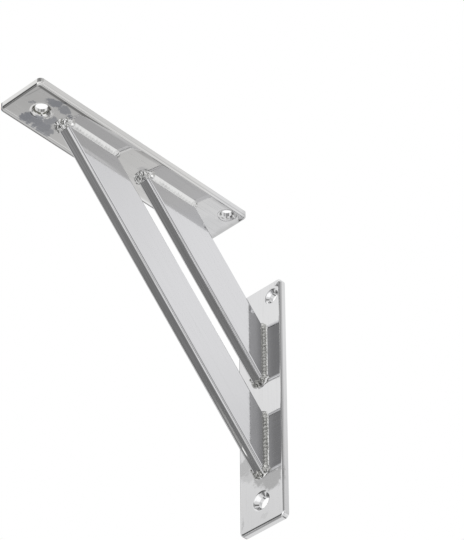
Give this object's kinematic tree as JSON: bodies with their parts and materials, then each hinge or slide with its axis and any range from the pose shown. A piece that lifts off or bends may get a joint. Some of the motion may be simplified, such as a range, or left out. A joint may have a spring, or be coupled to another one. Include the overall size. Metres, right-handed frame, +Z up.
{
  "type": "shelf bracket",
  "caption": "Welded steel shelf bracket: two flat plates round an open corner, joined by two parallel 45-degree flat-bar braces, chrome plated, with countersunk screw holes.",
  "frame": {"origin": "middle of the wall plate's back face, which lies against the wall", "axes": "+X points out of the wall along the shelf, +Y runs across the bracket's width, +Z is up"},
  "size_m": [0.2375, 0.041, 0.2395],
  "materials": {
    "plated_plate": "polished chrome plate",
    "plated_brace": "polished chrome plate",
    "plated_weld": "chrome plate over an unground weld bead"
  },
  "bodies": {
    "root": {"shelf_plate": "plated_plate", "wall_plate": "plated_plate", "outer_brace": "plated_brace", "inner_brace": "plated_brace", "shelf_outer_weld": "plated_weld", "shelf_inner_weld": "plated_weld", "wall_outer_weld": "plated_weld", "wall_inner_weld": "plated_weld"}
  },
  "joints": []
}
